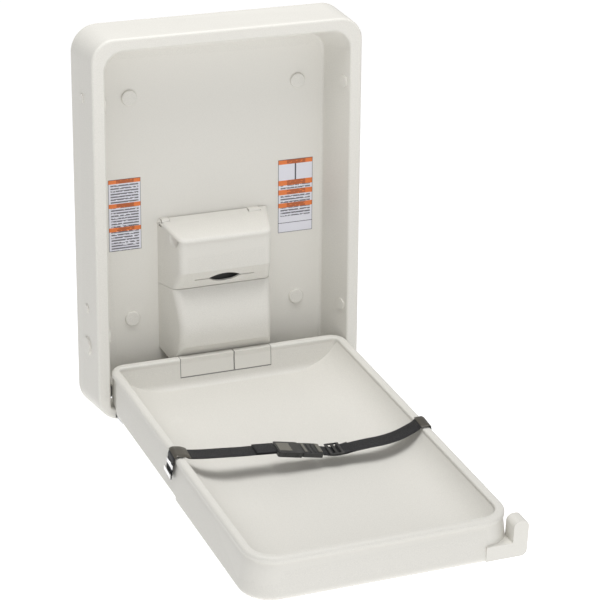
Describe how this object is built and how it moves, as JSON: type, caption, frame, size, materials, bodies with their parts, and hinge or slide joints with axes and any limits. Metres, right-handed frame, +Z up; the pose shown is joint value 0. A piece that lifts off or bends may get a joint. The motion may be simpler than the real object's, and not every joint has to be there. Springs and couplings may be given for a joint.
{
  "type": "wall-mounted baby changing table",
  "caption": "Upright wall-mounted baby changing table: drafted plastic case with a liner dispenser, and a tray bed that folds down on a bottom hinge, with strap, buckle and bag hook.",
  "frame": {"origin": "on the wall plane, at the centre of the four wall holes", "axes": "+X to the right as seen by someone facing the table, +Y into the wall, +Z up"},
  "size_m": [0.6586, 1.0013, 0.9494],
  "materials": {
    "case_plastic": "fine textured light grey moulding",
    "bed_plastic": "fine textured light grey moulding",
    "box_plastic": "fine textured light grey moulding",
    "steel": "zinc plated",
    "bush_plastic": "moulded acetal",
    "damper_black": "black enamel",
    "damper_rod_steel": "ground and plated",
    "label_print": "printed film, white with plain orange bands",
    "liner_paper": "folded paper liners",
    "webbing": "woven nylon webbing",
    "buckle_plastic": "satin moulding",
    "clip_metal": "bright plated"
  },
  "bodies": {
    "case": {"wall_case": "case_plastic", "wall_cross_rails": "steel", "wall_uprights": "steel", "wall_spacers": "steel", "screw_caps": "case_plastic", "side_caps": "case_plastic", "recess_plugs": "case_plastic", "side_covers": "case_plastic", "hinge_arm_left": "steel", "hinge_arm_right": "steel", "arm_bush_left": "bush_plastic", "arm_bush_right": "bush_plastic", "crank_pin_left": "steel", "crank_pin_right": "steel", "dispenser_box": "box_plastic", "lid_pin": "steel", "lid_posts": "box_plastic", "liner_stack": "liner_paper", "lower_cover": "box_plastic", "cover_bosses": "box_plastic", "label_left": "label_print", "label_right": "label_print"},
    "bed": {"bed_tray": "bed_plastic", "bed_shell": "bed_plastic", "bag_hook": "bed_plastic", "hinge_cover_left": "bed_plastic", "hinge_cover_right": "bed_plastic", "hinge_bracket_left": "steel", "hinge_bracket_right": "steel", "pivot_pin_left": "steel", "pivot_pin_right": "steel", "bed_cross_bar": "steel", "damper_body_left": "damper_black", "damper_body_right": "damper_black", "damper_cradle_left": "bush_plastic", "damper_cradle_right": "bush_plastic", "strap_left": "webbing", "strap_right": "webbing", "strap_clip_left": "clip_metal", "strap_clip_right": "clip_metal", "buckle_socket": "buckle_plastic", "buckle_plug": "buckle_plastic", "strap_slider": "buckle_plastic"},
    "lid": {"dispenser_lid": "box_plastic"},
    "damper_rod_left": {"damper_rod_left": "damper_rod_steel"},
    "damper_rod_right": {"damper_rod_right": "damper_rod_steel"},
    "prong_front": {"buckle_prong_front": "buckle_plastic"},
    "prong_rear": {"buckle_prong_rear": "buckle_plastic"}
  },
  "joints": [
    {"name": "bed_hinge", "type": "hinge", "parent": "case", "child": "bed", "pos_m": [0, -0.155, -0.374], "axis": [-1, 0, 0], "range_deg": [0, 95]},
    {"name": "lid_hinge", "type": "hinge", "parent": "case", "child": "lid", "pos_m": [0, -0.034, -0.0355], "axis": [-1, 0, 0], "range_deg": [0, 70]},
    {"name": "damper_slide_left", "type": "slide", "parent": "bed", "child": "damper_rod_left", "axis": [0, 0.9962, 0.0872], "range_m": [0, 0.0443]},
    {"name": "damper_slide_right", "type": "slide", "parent": "bed", "child": "damper_rod_right", "axis": [0, 0.9962, 0.0872], "range_m": [0, 0.0443]},
    {"name": "prong_front_squeeze", "type": "slide", "parent": "bed", "child": "prong_front", "axis": [0.0698, 0.9938, 0.087], "range_m": [0, 0.0025], "stiffness_N_per_m": 200},
    {"name": "prong_rear_squeeze", "type": "slide", "parent": "bed", "child": "prong_rear", "axis": [-0.0698, -0.9938, -0.087], "range_m": [0, 0.0025], "stiffness_N_per_m": 200}
  ],
  "couplings": [
    {"joint": "damper_slide_left", "follows": "bed_hinge", "m_per_rad": 0.02668},
    {"joint": "damper_slide_right", "follows": "bed_hinge", "m_per_rad": 0.02668}
  ]
}
